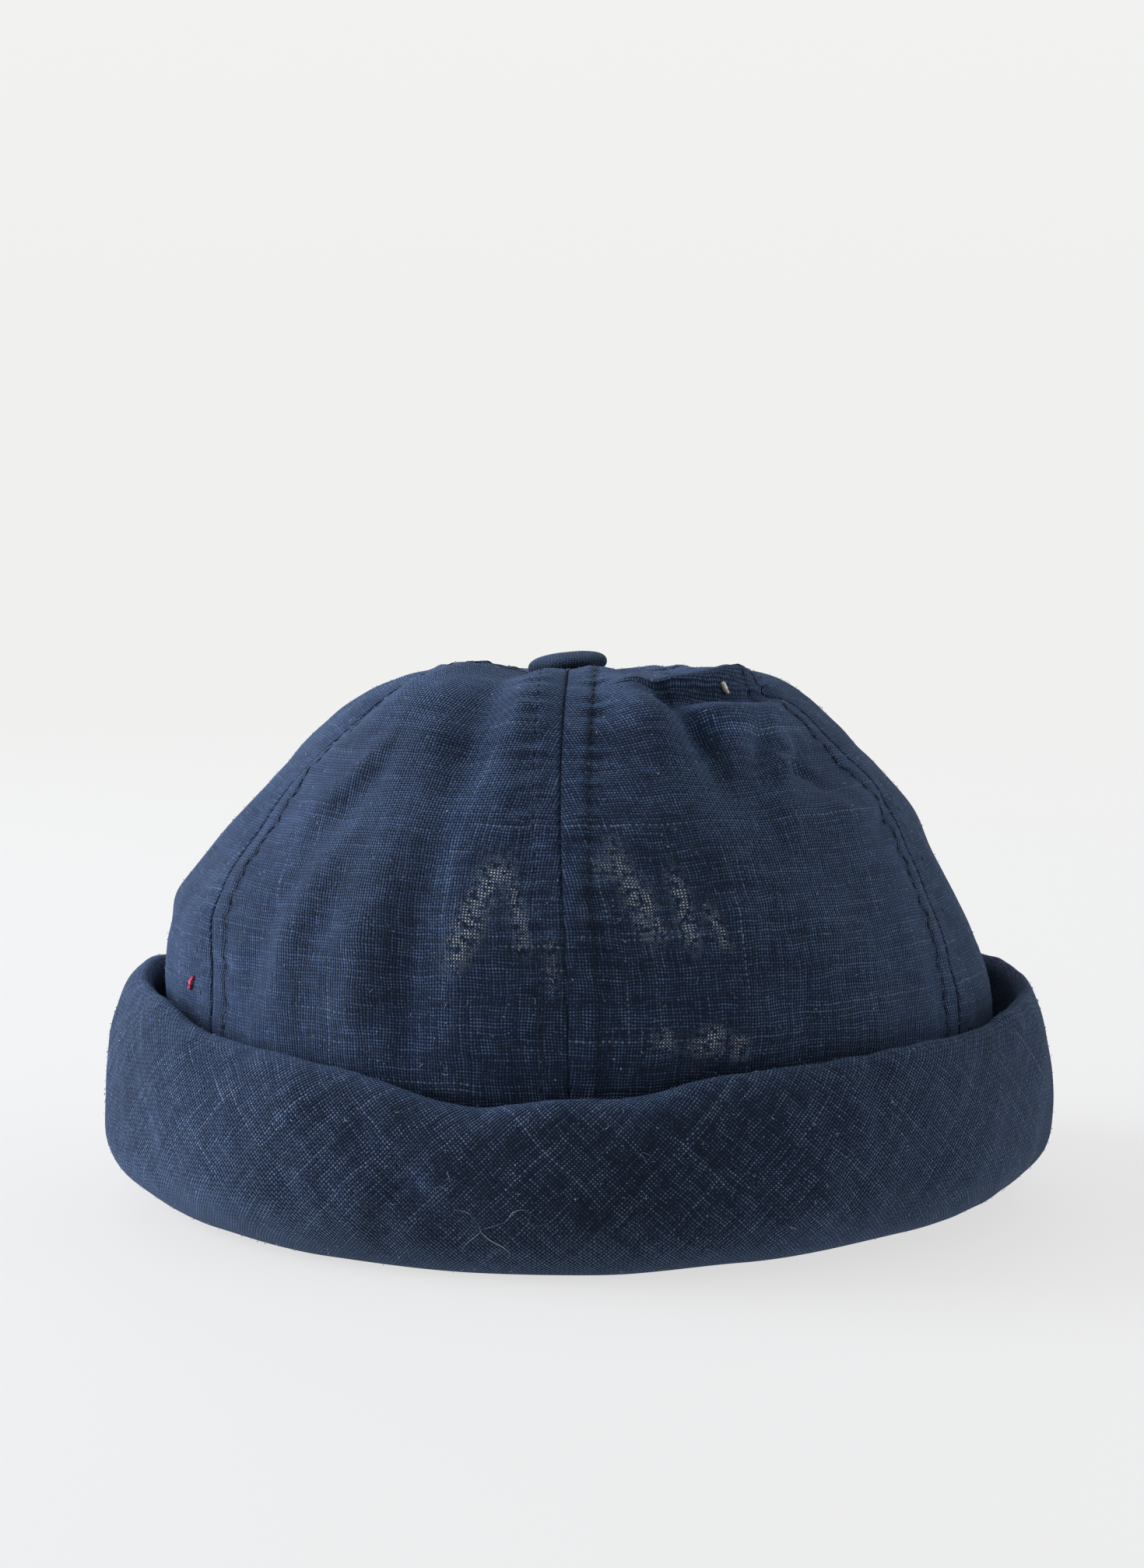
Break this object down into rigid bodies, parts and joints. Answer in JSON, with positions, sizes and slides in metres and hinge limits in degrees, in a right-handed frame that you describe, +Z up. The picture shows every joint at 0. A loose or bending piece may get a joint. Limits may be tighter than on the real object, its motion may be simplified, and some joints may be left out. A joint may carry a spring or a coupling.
{
  "type": "sailor cap",
  "caption": "Brimless close-fitting linen cap of sewn gores with a turned-up rolled cuff and a cloth-covered button on top.",
  "frame": {"origin": "On the surface the cap stands on, under the middle of its outline.", "axes": "+Z is up, the front seam faces -Y and +X is the viewer's right."},
  "size_m": [0.2095, 0.2079, 0.1186],
  "materials": {
    "crown_linen": "matte",
    "cuff_linen": "matte",
    "button_linen": "matte"
  },
  "bodies": {
    "root": {"crown_panel_front_right": "crown_linen", "crown_panel_right": "crown_linen", "crown_panel_back_right": "crown_linen", "crown_panel_back_left": "crown_linen", "crown_panel_left": "crown_linen", "crown_panel_front_left": "crown_linen", "cuff": "cuff_linen", "top_button": "button_linen"}
  },
  "joints": []
}
